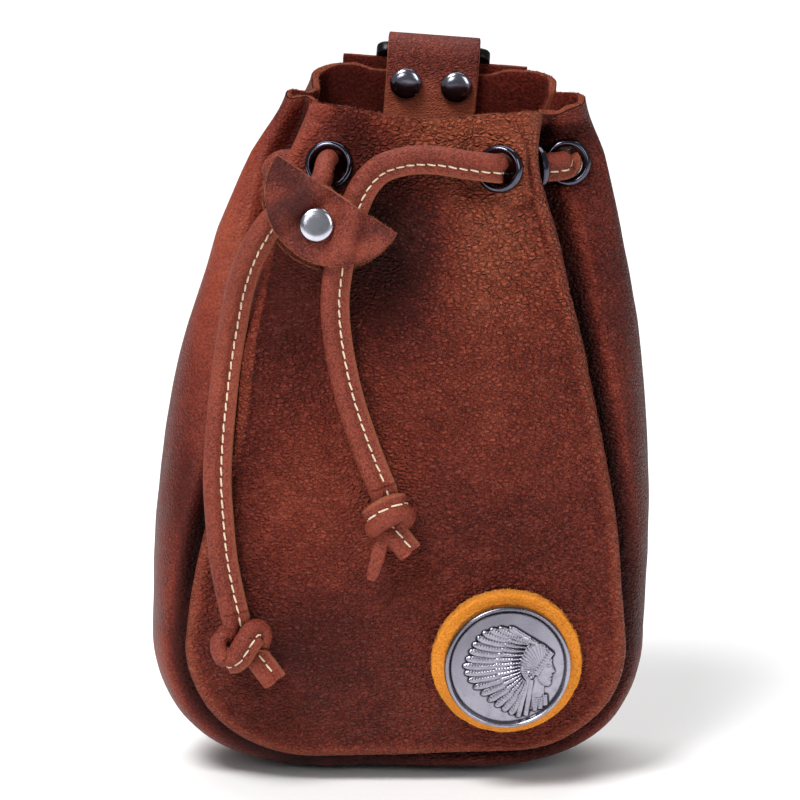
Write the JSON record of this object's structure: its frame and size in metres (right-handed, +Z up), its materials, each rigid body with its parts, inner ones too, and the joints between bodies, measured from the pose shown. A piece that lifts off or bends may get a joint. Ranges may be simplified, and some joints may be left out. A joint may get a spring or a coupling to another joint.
{
  "type": "leather drawstring belt bag",
  "caption": "Soft leather belt pouch with a gusset, a drawstring through eyelets closed by a snap toggle, a belt loop and hanger ring behind, and a round concho on its front.",
  "frame": {"origin": "on the surface that the pouch stands on, under the middle of its box without the cords' free ends", "axes": "+Z up from the flat bottom to the rim, +Y from the front panel to the belt loop, +X to the right seen from the front"},
  "size_m": [0.1186, 0.0719, 0.1744],
  "materials": {
    "leather": "matte waxed reddish brown leather with a pebbled grain",
    "strap_leather": "smooth brown leather with lighter raw edges",
    "orange_leather": "undyed orange leather with a raw edge",
    "gunmetal": "polished dark gunmetal plating",
    "pewter": "stamped pewter with dark recesses",
    "black_metal": "black enamelled wire"
  },
  "bodies": {
    "bag": {"front_panel": "leather", "gusset": "leather", "back_panel": "leather", "belt_loop": "leather", "hanger_strap": "strap_leather", "strap_rivet_left": "gunmetal", "strap_rivet_right": "gunmetal", "eyelet_front_left": "gunmetal", "eyelet_front_right": "gunmetal", "eyelet_tuck_left": "gunmetal", "eyelet_tuck_right": "gunmetal", "eyelet_fin_front_left": "gunmetal", "eyelet_fin_front_right": "gunmetal", "eyelet_fin_rear_left": "gunmetal", "eyelet_fin_rear_right": "gunmetal", "eyelet_rear_left": "gunmetal", "eyelet_rear_right": "gunmetal", "drawstring": "strap_leather", "cord_end_left": "strap_leather", "cord_end_right": "strap_leather", "knot_left": "strap_leather", "knot_right": "strap_leather", "toggle_front": "strap_leather", "toggle_back": "strap_leather", "toggle_snap": "gunmetal", "concho_disc": "orange_leather", "concho": "pewter"},
    "ring": {"hanger_ring": "black_metal"}
  },
  "joints": [
    {"name": "ring_swing", "type": "hinge", "parent": "bag", "child": "ring", "pos_m": [0.00793, 0.02005, 0.16958], "axis": [0.9972, 0, -0.075], "range_deg": [0, 250]}
  ]
}
